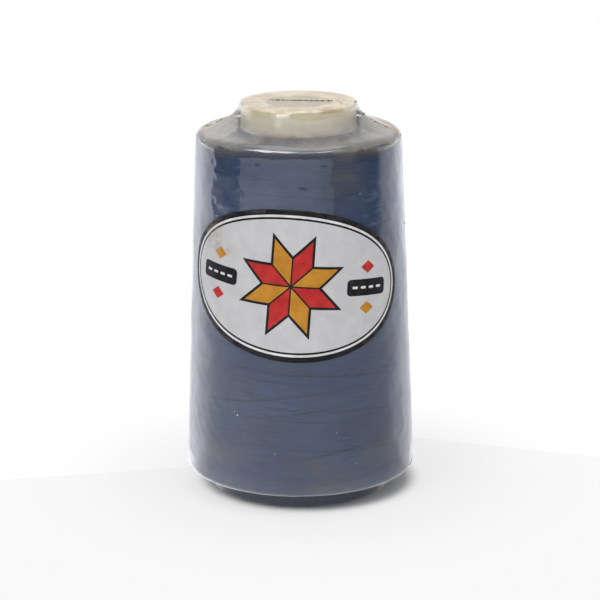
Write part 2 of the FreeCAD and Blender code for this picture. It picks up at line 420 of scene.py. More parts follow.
# The same for the table close to the foot, as a factor: below 1 a painted shadow of the object,
# above 1 painted light.
CLOSE_TURNS = (-150, -128, -106, -50, 0, 40, 125, 155)
CLOSE_LIGHT = (0.45, 0.6, 1.2, 1.4, 1.15, 1.0, 1.0, 0.5)
ROOM_TINT = (0.975, 0.985, 1.045)
# Distances from the object's axis, in mm.
ROOM_RADIUS = 905
TABLE_REACH = 2600
FLOOR_REACH = 3000


def room_light(degrees):
    return np.interp(degrees, ROOM_TURNS, ROOM_LIGHT)


def add_glow(name, points, tone):
    """A mirrored-only surface from a grid of points, each as bright as its tone."""
    s = Shade(name)
    glow = s.fed("Emission", Color=ROOM_TINT, Strength=s.value("tone"))
    thing = grid_object(name, points, s.done(glow))
    set_values(thing, "tone", tone)
    only_mirrored(thing)


def add_table():
    """The table top as the film mirrors it; it ends early towards the two dark side walls."""
    degrees = np.arange(-180, 181, 2.0)
    window = (degrees > 34) & (degrees < 96) | (degrees > -106) & (degrees < -65)
    reach = np.where(window, 480, np.where(np.abs(degrees) > 95, 60, TABLE_REACH))
    share = np.array([0.0, 0.08, 0.15, 0.18, 0.23, 0.265, 0.30, 0.335, 0.45, 1.0])[:, None]
    radius = np.where(window, share, np.minimum(share * TABLE_REACH / reach, 1)) * reach
    points = place(radius, np.radians(degrees)[None, :], FLOOR + 0.02)
    far = smooth_step(radius, 300, 520)
    close = 1 - smooth_step(radius, 70, 150)
    beside = np.interp(degrees, (-66, -45, 0, 16, 34), (0.70, 0.90, 1.15, 1.15, 0.6))
    painted_light_by_the_foot = np.interp(degrees, CLOSE_TURNS, CLOSE_LIGHT)
    # Near the foot the tone carries a painted shadow of the object and painted light.
    tone = room_light(degrees) * (1 + far * (beside - 1)) * (1 + close * (painted_light_by_the_foot - 1))
    tone = tone + 0.15 * smooth_step(radius, 690, 860)
    add_glow("table_mirrored", points, tone)


def add_surround():
    """The pale room to the sides and behind, below eye level, as the film mirrors it."""
    for name, start, stop, lift in (("room_left", -180, -106, 1.0), ("room_right", 92, 180, 0.9)):
        degrees = np.linspace(start, stop, 38)
        height = np.array([-420, -140, -100, 20, 80, 150.0])[:, None]
        tone = room_light(degrees) * np.ones_like(height)
        tone = tone + lift * (height > 50) * (1 - smooth_step(np.abs(degrees), 130, 150))
        tone = tone + np.where((height > -120) & (degrees > 136), 0.25, 0)
        tone = tone * smooth_step(degrees, 88, 102) if start > 0 else tone
        add_glow(name, place(ROOM_RADIUS, np.radians(degrees)[None, :], height), tone)


def add_paper():
    """A sheet of slightly greyer paper under the object, its far edge showing on both sides."""
    # The photographed edge: a scratch program found the four points next to the middle one by
    # projecting the photograph onto the floor, and the outer two carry its lines on.
    far_edge = [(-300, -38.8), (-98, -0.4), (-36.6, 11.3), (0, 30),
                (37.5, 41.1), (99.9, 18.9), (300, -52.3)]
    outline = [(x, y, FLOOR) for x, y in far_edge] + [(400, -500, FLOOR), (-400, -500, FLOOR)]
    sheet = new_object("paper_sheet", np.array(outline) * MM, [tuple(range(len(outline)))[::-1]],
                       floor_material("paper", 0.95))
    sheet.visible_glossy = False


DARK_ROOM = (0.05, 0.055, 0.06)
# Upright bands round the object: name, azimuths in degrees, heights and radius in mm, colour,
# strength.
MIRRORED_BANDS = (
    ("wall_left", -106, -66, -420, 450, ROOM_RADIUS, DARK_ROOM, 1.0),
    ("wall_front", -66, 36, 60, 850, ROOM_RADIUS, DARK_ROOM, 1.0),
    ("wall_right", 36, 94, -420, 450, ROOM_RADIUS + 1, DARK_ROOM, 1.0),
    ("room_high_left", -106, -66, 450, 850, ROOM_RADIUS, ROOM_TINT, 1.0),
    ("room_high_right", 36, 94, 450, 950, ROOM_RADIUS + 1, ROOM_TINT, 1.0),
    ("lamp_left", -72, -6, 900, 1900, 1000, WHITE, 7.0),
    ("lamp_right", -6, 52, 900, 1250, 1000, WHITE, 5.0),
    ("backdrop", 146, 214, 170, 420, ROOM_RADIUS, (0.80, 0.71, 0.62), 1.0),
)


def add_stage():
    """The pale floor, and the room that the film mirrors: a table's edge, dark walls, lamps."""
    turn = np.linspace(0, 2 * math.pi, 96, endpoint=False)
    disc = place(FLOOR_REACH, turn, FLOOR - 0.15)
    floor = new_object("floor", disc, [tuple(range(len(turn)))], floor_material("floor", 1.0))
    floor.visible_glossy = False
    add_paper()
    add_table()
    add_surround()
    for name, start, stop, low, high, radius, color, strength in MIRRORED_BANDS:
        turn = np.radians(np.linspace(start, stop, 24))
        edges = np.stack([place(radius, turn, height) for height in (low, high)])
        only_mirrored(grid_object(name, edges, glowing(name, color, strength)))


# ---- materials


THREAD = (0.034, 0.066, 0.155)
THREAD_LIGHT = (0.058, 0.100, 0.208)
THREAD_DARK = (0.014, 0.029, 0.074)


def thread_skin(s, shade, lay, twist, fibre, depth, strength, roughness, specular, sheen):
    """A dull fuzzy surface, its relief mixed from the lay (a share, twist) and the fibres."""
    height = s.math("ADD", s.math("MULTIPLY", lay, twist), s.math("MULTIPLY", fibre, 1 - twist))
    return s.done(s.principled(shade, roughness, s.bump(height, depth, strength), specular,
                               Sheen_Weight=sheen, Sheen_Roughness=0.5,
                               Sheen_Tint=(0.55, 0.65, 0.85)))


def thread_material(name, lift=0.0):
    """Spun polyester: fine twist, fuzz and small changes of shade from layer to layer."""
    s = Shade(name)
    lay = s.noise(900, 3, stretch=(0.35, 0.35, 3.0))
    cloud = s.noise(45, 5, stretch=(1, 1, 1.6))
    fibre = s.noise(5200, 2)
    shade = s.mix_color(s.ramp(lay, 0.32, 0.66, 0.35, 1.0), THREAD_DARK, THREAD)
    shade = s.mix_color(s.ramp(cloud, 0.40, 0.72, 0.0, 0.55), shade, THREAD_LIGHT)
    shade = s.mix_color(s.ramp(fibre, 0.58, 0.80, 0.0, 0.45 + lift), shade, THREAD_LIGHT)
    return thread_skin(s, shade, lay, 0.7, fibre, 0.00022, 0.9, 0.85, 0.15, 0.25)


def package_material():
    """The winding's ground: as the thread, with painted shade in its grooves, and a little soiled.
    """
    s = Shade("winding")
    lay = s.noise(1100, 3, stretch=(0.22, 0.22, 3.4))
    cloud = s.noise(38, 5, stretch=(1, 1, 1.5))
    fibre = s.noise(5200, 2)
    soil = s.noise(22, 6)
    shade = s.mix_color(s.ramp(lay, 0.30, 0.66, 0.62, 1.0), THREAD_DARK, THREAD)
    shade = s.mix_color(s.ramp(cloud, 0.34, 0.70, 0.0, 0.75), shade, THREAD_LIGHT)
    shade = s.mix_color(s.ramp(soil, 0.60, 0.80, 0.0, 0.35), shade, (0.085, 0.078, 0.070))
    # Painted shade: the colour goes nearly black where the groove is deep.
    groove_shade = s.math("MULTIPLY", s.value("groove"), 0.85, True)
    shade = s.mix_color(groove_shade, shade, (0.008, 0.013, 0.028))
    return thread_skin(s, shade, lay, 0.75, fibre, 0.00025, 1.0, 0.88, 0.12, 0.2)


def former_material():
    """Ivory moulding with fine scuffs and specks, yellowed and stained brown at its top edge; the
    brown at its base is painted shade.
    """
    s = Shade("ivory")
    height = s.fed("SeparateXYZ", Vector=s.where()).outputs["Z"]
    top = s.ramp(height, (FORMER_TOP - 1.7) * MM, (FORMER_TOP - 0.2) * MM)
    # Towards the base, where the nose meets the thread, the brown is painted shade; towards the
    # top edge it is a stain.
    base = s.ramp(height, (NOSE_BASE + 2.6) * MM, (NOSE_BASE + 0.1) * MM)
    top_stain_and_base_shade = s.math("MAXIMUM", top, base)
    blotch = s.noise(160, 5, stretch=(1, 1, 1.4))
    stain_and_shade = s.math("MULTIPLY", top_stain_and_base_shade, s.ramp(blotch, 0.36, 0.66), True)
    cloud = s.noise(70, 4, stretch=(1.6, 1.6, 0.6))
    speck = s.noise(900, 2)
    shade = s.mix_color(s.ramp(cloud, 0.36, 0.66), (0.77, 0.675, 0.485), (0.87, 0.775, 0.58))
    shade = s.mix_color(s.math("MULTIPLY", stain_and_shade, 0.75), shade, (0.38, 0.22, 0.085))
    shade = s.mix_color(s.ramp(speck, 0.72, 0.80, 0.0, 0.35), shade, (0.30, 0.22, 0.13))
    grain = s.noise(1500, 3, stretch=(1, 1, 0.35))
    rough = s.ramp(cloud, 0.3, 0.7, 0.38, 0.52)
    skin = s.principled(shade, rough, s.bump(grain, 0.00004, 0.6), specular=0.45,
                        Subsurface_Weight=0.25, Subsurface_Scale=1.0)
    skin.inputs["Subsurface Radius"].default_value = (0.004, 0.003, 0.002)
    return s.done(skin)


def film_material(name):
    """Clear shrink film: see-through, mirror-bright at grazing angles, milky where it gathers."""
    s = Shade(name)
    fine = s.noise(1500, 3, stretch=(0.7, 0.7, 1.5))
    waves = s.noise(300, 3, stretch=(0.8, 0.8, 1.3))
    normal = s.bump(waves, 0.00010, 0.6)
    normal = s.bump(fine, 0.000012, 0.5, normal)
    edge_on = s.fed("LayerWeight", Blend=0.5, Normal=normal).outputs["Facing"]
    one_side = s.math("ADD", s.math("MULTIPLY", s.math("POWER", edge_on, 5.0), 0.96), 0.04)
    twice = s.math("MULTIPLY", one_side, 2.0)
    both_sides = s.math("DIVIDE", twice, s.math("ADD", one_side, 1.0), True)
    blur = s.value("blur")
    shine = s.math("SUBTRACT", 1.12, s.math("MULTIPLY", blur, 1.35))
    mirror = s.math("MULTIPLY", both_sides, shine, True)
    gloss = s.fed("BsdfAnisotropic", Color=WHITE, Roughness=blur, Normal=normal)

    dust = s.noise(60, 6)
    grime = s.noise(150, 6, stretch=(1.0, 1.0, 0.7))
    streak = s.noise(700, 4)
    thin = s.ramp(dust, 0.38, 0.72, 0.004, 0.036)
    thin = s.math("ADD", thin, s.ramp(grime, 0.42, 0.72, 0.0, 0.042))
    gather = s.math("MULTIPLY", s.value("milk"), s.ramp(streak, 0.25, 0.75, 0.7, 1.0))
    depth = s.math("ADD", thin, gather)
    slant = s.math("MAXIMUM", s.math("SUBTRACT", 1.0, edge_on), 0.12)
    milk = s.math("DIVIDE", depth, slant, True)
    tone = s.mix_color(s.value("soil"), (0.80, 0.79, 0.77), (0.080, 0.068, 0.050))
    dirt = s.fed("BsdfDiffuse", Color=tone)
    clear = s.fed("BsdfTransparent", Color=(0.985, 0.985, 0.98))
    body = s.mix_shader(milk, clear, dirt)
    return s.done(s.mix_shader(mirror, body, gloss))


def weld_material():
    """Film melted by the sealing wire: brown to nearly black in drops, horny between them."""
    s = Shade("weld")
    spot = s.noise(900, 3)
    drop = s.value("char")
    shade = s.mix_color(s.ramp(spot, 0.35, 0.7), (0.52, 0.42, 0.30), (0.74, 0.68, 0.58))
    shade = s.mix_color(drop, shade, (0.070, 0.042, 0.028))
    solid = s.math("ADD", s.math("MULTIPLY", drop, 0.75), 0.18, True)
    return s.done(s.principled(shade, 0.3, s.bump(spot, 0.00006, 0.7), Alpha=solid))


def ink_material(name, color, roughness=0.32, variation=0.12, gloss=0.25):
    """Gloss-coated label stock in one ink, with faint mottle, rub marks and a soft orange peel."""
    s = Shade(name)
    mottle = s.noise(240, 5)
    rub = s.noise(1500, 4, stretch=(0.5, 0.5, 2.0))
    paler = tuple(min(1.0, c * (1 + variation) + 0.01) for c in color)
    deeper = tuple(c * (1 - variation) for c in color)
    shade = s.mix_color(s.ramp(mottle, 0.3, 0.7), deeper, paler)
    smudge = s.math("MULTIPLY", s.value("smudge"), s.ramp(mottle, 0.38, 0.62), True)
    shade = s.mix_color(smudge, shade, (0.40, 0.33, 0.24))
    rough = s.ramp(rub, 0.35, 0.75, roughness, roughness + 0.14)
    skin = s.principled(shade, rough, s.bump(rub, 0.00002, 0.5), specular=gloss)
    return s.done(skin)


# ---- the film's shape

FILM_CORNERS = [
    (TAIL_RADIUS + 0.3, HEM, 0),
    (TAIL_RADIUS + 0.3, 4.5, 1.6),
    (31.0, PACKAGE_BASE - 0.1, 2.0),
    (BASE_RADIUS + FILM_GAP, PACKAGE_BASE - 0.1, 2.7),
    (RIM_RADIUS + FILM_GAP, RIM_HEIGHT + 0.6, 4.2),
    (*TENT[0], 5.0),
    (*TENT[1], 1.8),
    (NOSE_RADIUS + 0.1, FORMER_TOP + FILM_GAP, 0.9),
    (0.0, FORMER_TOP + FILM_GAP, 0),
]
ALONG, ROW_R, ROW_Z, OUT_R, OUT_Z = rounded_path(FILM_CORNERS, STEP)


def along_at(height):
    """Distance along the film from its hem, at a height on the package's side."""
    side = (ROW_R > RIM_RADIUS) & (ROW_Z > PACKAGE_BASE + 2) & (ROW_Z < RIM_HEIGHT)
    return np.interp(height, ROW_Z[side], ALONG[side])


HEM_ALONG = ALONG[0]
RIM_ALONG = ALONG[np.argmin(np.hypot(ROW_R - RIM_RADIUS, ROW_Z - RIM_HEIGHT))]
NOSE_ALONG = ALONG[np.argmin(np.hypot(ROW_R - NOSE_RADIUS, ROW_Z - FORMER_TOP))]
BASE_ALONG = ALONG[np.argmin(np.hypot(ROW_R - BASE_RADIUS, ROW_Z - PACKAGE_BASE))]
SEAMS = (math.pi / 2 - SEAM_TURN, -math.pi / 2 - SEAM_TURN)


def seam_nearness(azimuth, width):
    """1 at either run of the weld, falling to 0 beside it."""
    return sum(bell_round(azimuth, seam, width) for seam in SEAMS)


def label_reach(azimuth, height):
    """0 at the label's middle, 1 on its edge."""
    around = turned_from(azimuth, LABEL_TURN) * side_radius(LABEL_CENTRE)
    above = height - LABEL_CENTRE
    across = around * math.cos(LABEL_TILT) - above * math.sin(LABEL_TILT)
    up = around * math.sin(LABEL_TILT) + above * math.cos(LABEL_TILT)
    return np.hypot(across / LABEL_SIZE[0] * 2, up / LABEL_SIZE[1] * 2)


def film_swell(azimuth, along):
    """How far the shrunk film stands off its plain turned shape, in mm."""
    to_nose = NOSE_ALONG - along
    tent = smooth_step(along, RIM_ALONG + 0.5, RIM_ALONG + 7) * np.clip(to_nose / 2.9, 0, 1)
    folds = between(along, RIM_ALONG, RIM_ALONG + 3, NOSE_ALONG - 3, NOSE_ALONG)
    side = 1 - smooth_step(along, RIM_ALONG - 3, RIM_ALONG)
    top = smooth_step(along, NOSE_ALONG - 0.5, NOSE_ALONG + 1.5)
    free = smooth_step(label_reach(azimuth, np.interp(along, ALONG, ROW_Z)), 0.98, 1.08)
    swell = side * 0.035 * ripple(azimuth, along, 11, 40, 16, 14) * (0.35 + 0.65 * free)
    swell += side * 0.024 * ripple(azimuth, along, 19, 50, 26, 8) * free
    swell += side * 0.016 * ripple(azimuth, along, 12, 60, 50, 3.6) * free
    swell += folds * 0.030 * ripple(azimuth, along, 13, 30, 40, 40)
    swell -= tent * 0.90 * (1 - seam_nearness(azimuth, 0.35))
    behind = smooth_step(np.abs(turned_from(azimuth, 0)), 0.9, 1.9)
    sunk = bell(along, RIM_ALONG + 4.8, 4.6) * smooth_step(along, RIM_ALONG + 0.3, RIM_ALONG + 2.5)
    swell -= 0.75 * behind * sunk
    facet = np.clip(to_nose / 3.1, 0, 1) * smooth_step(along, NOSE_ALONG - 9, NOSE_ALONG - 4)
    swell += bell_round(azimuth, -0.30, 0.22) * (0.90 * tent + 0.80 * facet)
    pucker = bell_round(azimuth, -0.92, 0.12) + bell_round(azimuth, -0.55, 0.09)
    high = smooth_step(along, RIM_ALONG - 36, RIM_ALONG - 22)
    swell += 0.011 * pucker * high * side * ripple(azimuth, along, 20, 60, 70, 3.2) * free
    swell += side * seam_nearness(azimuth, 0.05) * 0.06
    bead = 0.05 + 0.035 * ripple(azimuth, 0, 15, 24, 40, 10)
    swell += bead * bell(along, RIM_ALONG + 0.4, 0.7)
    swell += top * 0.03 * ripple(0, along, 16, 20, 1, 6)
    skirt = 1 - smooth_step(along, HEM_ALONG + 3.5, HEM_ALONG + 6)
    swell += skirt * (0.12 + 0.06 * ripple(azimuth, along, 17, 16, 9, 12))
    return np.maximum(swell, -0.06 - 1.0 * tent)


def hem_rise(azimuth):
    """How far the bag's lower edge wanders up or down the foot, in mm."""
    return 0.12 * ripple(azimuth, 0, 18, 12, 9, 10) - 0.35


def film_spot(azimuth, row):
    """Radius and height of the film at an azimuth and a station along it."""
    along = ALONG[row]
    swell = film_swell(azimuth, along)
    lip = np.clip(1 - (along - HEM_ALONG) / 4.0, 0, 1)
    height = ROW_Z[row] + OUT_Z[row] * swell + lip * hem_rise(azimuth)
    return ROW_R[row] + OUT_R[row] * swell, height


def add_film():
    """Front and back panels, meeting at the weld."""
    rows = np.arange(len(ALONG) - 1)[:, None]
    for name, node, start in (("film_front_skin", "film_front", SEAMS[1]),
                              ("film_back_skin", "film_back", SEAMS[0])):
        azimuth = np.linspace(start, start + math.pi, AROUND // 2 + 1)[None, :]
        radius, height = film_spot(azimuth, rows)
        points = place(np.maximum(radius, 0), azimuth, height)
        panel = grid_object(name, points, film_material(name))
        a, s = np.broadcast_arrays(azimuth, ALONG[rows])
        milk, soil = film_dirt(a, s)
        for value_name, values in (("milk", milk), ("soil", soil), ("blur", film_blur(s))):
            set_values(panel, value_name, values)
        finish_piece(panel, "film", node)


def film_dirt(azimuth, along):
    """How much the film is clouded, and how dark that is, 0 milky to 1 sooty: dirt, and in places
    painted light and shade.
    """
    turn = np.abs(turned_from(azimuth, 0))
    patch = 0.5 + 0.5 * np.tanh(1.2 * ripple(azimuth, along, 21, 24, 9, 18))
    fine = 0.5 + 0.5 * np.tanh(1.5 * ripple(azimuth, along, 22, 40, 30, 5))
    aside = smooth_step(turn, 0.55, 1.1)
    left = smooth_step(-turned_from(azimuth, 0), 0.4, 1.0)
    limit = RIM_ALONG + 6.5 + 6.3 * smooth_step(turn, 0.75, 1.25)
    fade = 3.5 - 2.2 * aside
    dust = between(along, RIM_ALONG + 0.8, RIM_ALONG + 4, limit, limit + fade)
    rim = bell(along, RIM_ALONG + 0.4, 2.4) * (1 - 0.85 * smooth_step(turn, 1.1, 1.4))
    dirty = bell_round(azimuth, 0.72, 0.36) + 0.8 * bell_round(azimuth, -0.80, 0.26)
    base = bell(along, BASE_ALONG + 1.5, 2.2)
    low = bell(along, BASE_ALONG + 8, 5.5)
    skirt = 1 - smooth_step(along, BASE_ALONG - 4, BASE_ALONG - 1)
    veil = between(along, limit, limit + 3, NOSE_ALONG - 2, NOSE_ALONG)
    body = between(along, BASE_ALONG + 1, BASE_ALONG + 4, RIM_ALONG - 40, RIM_ALONG - 25)
    smear = bell_round(azimuth, 0.43, 0.17) * bell(along, RIM_ALONG - 10, 9)
    layers = [
        # Real dust, but its tone is painted light and reflection: darker in front, paler towards
        # the sides and the left.
        (dust * (0.36 + 0.10 * patch), 0.985 - 0.06 * fine - 0.22 * aside - 0.08 * left),
        (rim * (0.32 + 0.08 * fine), 0.74),
        (rim * 0.45 * dirty * (0.6 + 0.4 * patch), 0.98),
        (base * (0.07 + 0.05 * patch), 0.30),
        (low * 0.15 * patch * (0.5 + 0.5 * fine), 0.72),
        # Partly real haze of the gathered film, partly painted shade: the skirt under the overhang
        # is made dark.
        (skirt * (0.08 + 0.06 * fine), 0.80),
        (veil * (0.02 + 0.03 * patch), 0.0),
        (smear * (0.14 + 0.16 * fine), 0.72),
        (body * 0.07 * patch * (0.4 + 0.6 * fine), 0.86),
    ]
    milk = sum(amount for amount, darkness in layers)
    soil = sum(amount * darkness for amount, darkness in layers) / np.maximum(milk, 1e-6)
    return np.clip(milk, 0, 0.9), np.clip(soil, 0, 1)


def film_blur(along):
    """Roughness of the film's gloss: sharp where it is stretched, dull where dusty or slack."""
    nose = smooth_step(along, NOSE_ALONG - 3, NOSE_ALONG - 1.5)
    tent = smooth_step(along, RIM_ALONG + 1.5, RIM_ALONG + 4) * (1 - nose)
    skirt = 1 - smooth_step(along, BASE_ALONG - 3, BASE_ALONG)
    near_nose = smooth_step(along, NOSE_ALONG - 11, NOSE_ALONG - 7)
    base = bell(along, BASE_ALONG + 1.0, 2.0)
    bend = 0.07 * bell(along, RIM_ALONG + 0.4, 1.5) + 0.15 * base * (1 - skirt)
    return 0.09 + (0.17 + 0.14 * near_nose) * tent + 0.14 * nose + 0.25 * skirt + bend


# ---- the weld


def add_weld():
    """A fine melted bead, charred drops where the sealing wire lingered, and a pinched fold."""
    # Its stations run up the left side, across the nose and down the right side.
    count = len(ALONG)
    row = np.concatenate([np.arange(count), np.arange(count - 1)[::-1]])
    azimuth = np.repeat([SEAMS[1], SEAMS[0]], [count, count - 1])
    station = np.arange(len(row))
    along = ALONG[row]
    radius, height = film_spot(azimuth, row)
    free = smooth_step(along, RIM_ALONG - 2, RIM_ALONG + 1)
    scorched = scorch(radius, along)
    wander = np.abs(ripple(0, station, 32, 20, 1, 3.0))
    size = 0.035 + 0.02 * free + 0.03 * wander * scorched
    centre = place(radius, azimuth, height)
    across = np.stack([np.cos(azimuth), np.sin(azimuth), 0 * azimuth], axis=-1)
    outward = facing_out(azimuth) * OUT_R[row][:, None]
    outward[:, 2] = OUT_Z[row]
    sides = 6
    rings = []
    for k in range(sides):
        turn = 2 * math.pi * k / sides
        wide = 1.9 * math.cos(turn)
        tall = 1.0 * math.sin(turn) + 0.5
        rings.append(centre + (across * wide + outward * tall) * (size[:, None] * MM))
    bead = grid_object("weld_bead", np.stack(rings, axis=1), weld_material(), wrap=True)
    char = scorched * np.clip(0.55 + 0.5 * ripple(0, station, 33, 24, 1, 3.5), 0, 1)
    set_values(bead, "char", np.repeat(char, sides))
    finish_piece(bead, "weld", "film_seam")
    add_weld_drops(azimuth, radius, height, outward, scorched)
    add_fold()


def scorch(radius, along):
    """Where the weld is burnt: across the hole and along the two shoulders."""
    hole = 1 - smooth_step(radius, 9.5, 12.0)
    shoulder = smooth_step(along, RIM_ALONG + 1.5, RIM_ALONG + 3) * smooth_step(radius, 21.5, 23.5)
    return np.maximum(hole, shoulder)


def lumps_object(name, lumps, material):
    """One object from small round lumps: each a middle in metres and three radii in mm."""
    ball = bmesh.new()
    bmesh.ops.create_icosphere(ball, subdivisions=2, radius=1.0)
    unit = np.array([v.co[:] for v in ball.verts])
    triangles = np.array([[v.index for v in f.verts] for f in ball.faces])
    ball.free()
    points = np.concatenate([unit * radii * MM + middle for middle, radii in lumps])
    faces = np.concatenate([triangles + i * len(unit) for i in range(len(lumps))])
    return new_object(name, points, faces.tolist(), material)


def add_weld_drops(azimuth, radius, height, outward, scorched):
    """Charred drops at uneven steps along the burnt stretches of the weld."""
    rng = np.random.default_rng(31)
    stations = []
    spot = 0.0
    while spot < len(azimuth) - 1:
        i = int(spot)
        over_hole = radius[i] < 11
        spot += rng.uniform(0.9, 1.9) if over_hole else rng.uniform(1.8, 4.0)
        if rng.uniform() < scorched[i] + 0.02:
            size = rng.uniform(0.16, 0.28) if over_hole else rng.uniform(0.12, 0.30)
            stations.append((i, size))
    # Two large drops on the right, beside the nose and on its edge.
    off_right = np.where(azimuth > 0, 0, 20)
    for middle, size in ((20.3, 0.55), (17.9, 0.34)):
        stations.append((int(np.argmin(np.hypot(radius - middle, off_right))), size))
    lumps = []
    chars = []
    for i, size in stations:
        radii = size * rng.uniform(0.7, 1.3, 3)
        shift = rng.uniform(-0.15, 0.15)
        middle = place(radius[i], azimuth[i] + shift / max(radius[i], 2), height[i])
        lumps.append((middle + outward[i] * 0.05 * MM, radii))
        chars.append(rng.uniform(0.55, 1.0))
    drops = lumps_object("weld_drops", lumps, weld_material())
    set_values(drops, "char", np.repeat(chars, len(drops.data.vertices) // len(lumps)))
    finish_piece(drops, "weld")


def add_fold():
    """A pinched fold of film that runs from the weld's right end to the front of the nose."""
    rows, columns = 13, 5
    width, rise = 0.55, 0.35
    start = Vector((11.3, 2.4))
    stop = Vector((13.6, -6.4))
    ahead = (stop - start).normalized()
    across = Vector((-ahead.y, ahead.x))
    points = []
    for i in range(rows):
        t = i / (rows - 1)
        waist = math.sin(math.pi * min(t + 0.08, 1.0)) ** 0.7
        for j in range(columns):
            w = j / (columns - 1) * 2 - 1
            aside = w * width / 2 * (0.4 + 0.6 * waist) + 0.35 * math.sin(t * 2.6)
            spot = start.lerp(stop, t) + across * aside
            lift = rise * waist * (1 - abs(w)) ** 1.5
            points.append(Vector((spot.x, spot.y, FORMER_TOP + 0.2 + lift)) * MM)
    s = Shade("fold")
    cloud = s.noise(1200, 3)
    shade = s.mix_color(s.ramp(cloud, 0.3, 0.7), (0.66, 0.52, 0.27), (0.90, 0.84, 0.66))
    skin = s.principled(shade, 0.22, s.bump(cloud, 0.00005, 0.5), Alpha=0.85)
    grid = np.array(points).reshape(rows, columns, 3)
    finish_piece(grid_object("film_fold", grid, s.done(skin)), "weld")


WHITE_LINT = (0.85, 0.84, 0.80)
BROWN_DUST = (0.10, 0.065, 0.04)
ORANGE_LINT = (0.62, 0.34, 0.15)
# Bits of dust and lint on the film: azimuth in radians, height and size in mm, colour.
SPECKS = (
    (-0.58, 31.3, 0.26, WHITE_LINT), (-0.61, 32.2, 0.16, WHITE_LINT),
    (-0.21, 39.0, 0.22, BROWN_DUST), (-0.22, 20.3, 0.20, ORANGE_LINT),
    (0.50, 16.0, 0.20, WHITE_LINT), (0.32, 26.7, 0.18, WHITE_LINT),
    (0.60, 101.0, 0.16, WHITE_LINT), (-0.86, 93.0, 0.18, WHITE_LINT),
    (0.78, 20.0, 0.16, BROWN_DUST), (2.6, 60.0, 0.22, WHITE_LINT),
    (-2.2, 35.0, 0.20, BROWN_DUST), (3.0, 22.0, 0.18, ORANGE_LINT),
)


def add_specks():
    """Grains of dust and lint caught on the film."""
    rng = np.random.default_rng(81)
    for color, name in ((WHITE_LINT, "lint_white"), (BROWN_DUST, "dust_brown"),
                        (ORANGE_LINT, "lint_orange")):
        lumps = []
        for azimuth, height, size, tone in SPECKS:
            if tone == color:
                middle = place(side_radius(height) + 0.25, azimuth, height)
                lumps.append((middle, size * rng.uniform(0.5, 1.2, 3)))
        s = Shade(name)
        grain = s.noise(2500, 3)
        paler = tuple(min(1.0, c * 1.15) for c in color)
        deeper = tuple(c * 0.75 for c in color)
        shade = s.mix_color(grain, deeper, paler)
        skin = s.principled(shade, 0.7, s.bump(grain, 0.00005, 0.8), specular=0.2)
        finish_piece(lumps_object(name, lumps, s.done(skin)), "film")


# ---- the wound thread

WIND_ANGLE = math.radians(5.5)
WIND_RADIUS = 34.5                     # where the helix has that angle
GROOVES = 26                           # helical hollows where the traverse left gaps


def groove_depth(azimuth, height):
    """0 to 1 in the hollows between bands of winding, which climb both ways round the package."""
    rng = np.random.default_rng(46)
    depth = 0.0
    for k in range(GROOVES):
        way = 1 if k % 2 else -1
        middle = PACKAGE_BASE + 8 + (RIM_HEIGHT - PACKAGE_BASE - 16) * ((k * 0.618) % 1.0)
        facing = rng.uniform(-math.pi, math.pi) if k > 7 else rng.uniform(-0.5, 0.5)
        middle = middle if k > 7 else rng.uniform(18, 48)
        reach = rng.uniform(0.45, 1.1)
        width = rng.uniform(0.16, 0.30)
        turn = turned_from(azimuth, facing)
        climb = way * turn * side_radius(middle) * math.tan(WIND_ANGLE)
        line = middle + climb + 0.5 * np.sin(turn * 3 + facing)
        depth += bell(height, line, width) * bell(turn, 0, reach) * rng.uniform(0.55, 1.0)
    return np.clip(depth, 0, 1)


def add_package():
    """The mass of thread: a turned body with lumps, grooves and soft ends."""
    corners = [
        (former_radius(PACKAGE_BASE) + 0.05, PACKAGE_BASE + 0.3, 0),
        (BASE_RADIUS - 0.1, PACKAGE_BASE + 0.1, 2.5),
        (RIM_RADIUS - 0.1, RIM_HEIGHT, 3.6),
        (CONE_TOP_RADIUS + 0.05, NOSE_BASE - 0.05, 0),
    ]
    along, r, z, out_r, out_z = rounded_path(corners, 0.40)
    count = 440
    azimuth = np.linspace(0, 2 * math.pi, count, endpoint=False)
    a, s = np.meshgrid(azimuth, along)
    height = np.broadcast_to(z[:, None], a.shape)
    side = between(height, PACKAGE_BASE + 1, PACKAGE_BASE + 4, RIM_HEIGHT - 3, RIM_HEIGHT - 1)
    groove = groove_depth(a, height) * side
    lump = 0.04 * ripple(a, s, 42, 36, 14, 16) + 0.03 * ripple(a, s, 43, 40, 30, 2.2)
    off = np.minimum(lump - 0.22 * groove, 0.05)
    radius = r[:, None] + out_r[:, None] * off
    points = place(radius, a, z[:, None] + out_z[:, None] * off)
    inner_low = place(former_radius(PACKAGE_BASE) + 0.02, azimuth, PACKAGE_BASE + 0.3)
    inner_high = place(CONE_TOP_RADIUS + 0.02, azimuth, NOSE_BASE - 0.05)
    rows = np.concatenate([points, inner_high[None], inner_low[None]])
    package = grid_object("winding", rows, package_material(), wrap=True)
    # The material paints shade in the grooves from these values.
    set_values(package, "groove", np.concatenate([groove, np.zeros((2, count))]))
    finish_piece(package, "thread", "thread_package")


def tubes_piece(name, tubes, material, *nodes):
    """A piece of four-sided threads: each a path, its outward directions and a radius in mm."""
    vertices = []
    faces = []
    start = 0
    for path, outward, radius in tubes:
        ahead = np.gradient(path, axis=0)
        ahead /= np.linalg.norm(ahead, axis=1, keepdims=True)
        across = np.cross(ahead, outward)
        across /= np.linalg.norm(across, axis=1, keepdims=True)
        ring = []
        for k in range(4):
            turn = math.pi / 2 * k
            ring.append(path + (outward * math.cos(turn) + across * math.sin(turn)) * radius * MM)
        vertices.append(np.stack(ring, axis=1).reshape(-1, 3))
        count = len(vertices[-1])
        ends = [range(4), range(count - 1, count - 5, -1)]
        faces += [tuple(start + k for k in face) for face in grid_faces(len(path), 4, True) + ends]
        start += count
    finish_piece(new_object(name, np.concatenate(vertices), faces, material), "thread", *nodes)


